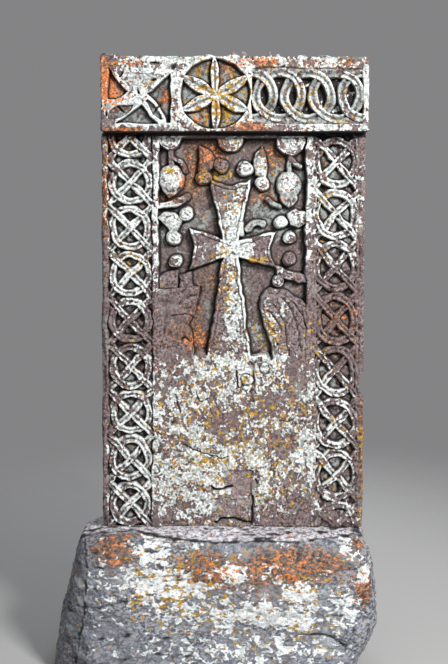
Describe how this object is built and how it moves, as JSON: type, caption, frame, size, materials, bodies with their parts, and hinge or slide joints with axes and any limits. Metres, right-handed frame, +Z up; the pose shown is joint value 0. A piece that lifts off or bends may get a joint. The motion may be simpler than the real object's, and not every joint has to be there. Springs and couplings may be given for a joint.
{
  "type": "khachkar",
  "caption": "Upright carved cross-stone with knotwork borders, a sunk field holding a flared cross and a projecting carved frieze, standing on a rough boulder-like base block",
  "frame": {"origin": "middle of the flat underside of the base block, on the ground", "axes": "+Z up, the carved face looks towards -Y, +X to the right of a viewer who faces the carving"},
  "size_m": [1.04, 0.52, 1.9833],
  "materials": {
    "mauve_tuff": "weathered mauve-brown stone with pale, orange and ochre lichen",
    "grey_basalt": "undressed grey stone with pale and orange lichen"
  },
  "bodies": {
    "root": {"carved_slab": "mauve_tuff", "base_block": "grey_basalt"}
  },
  "joints": []
}
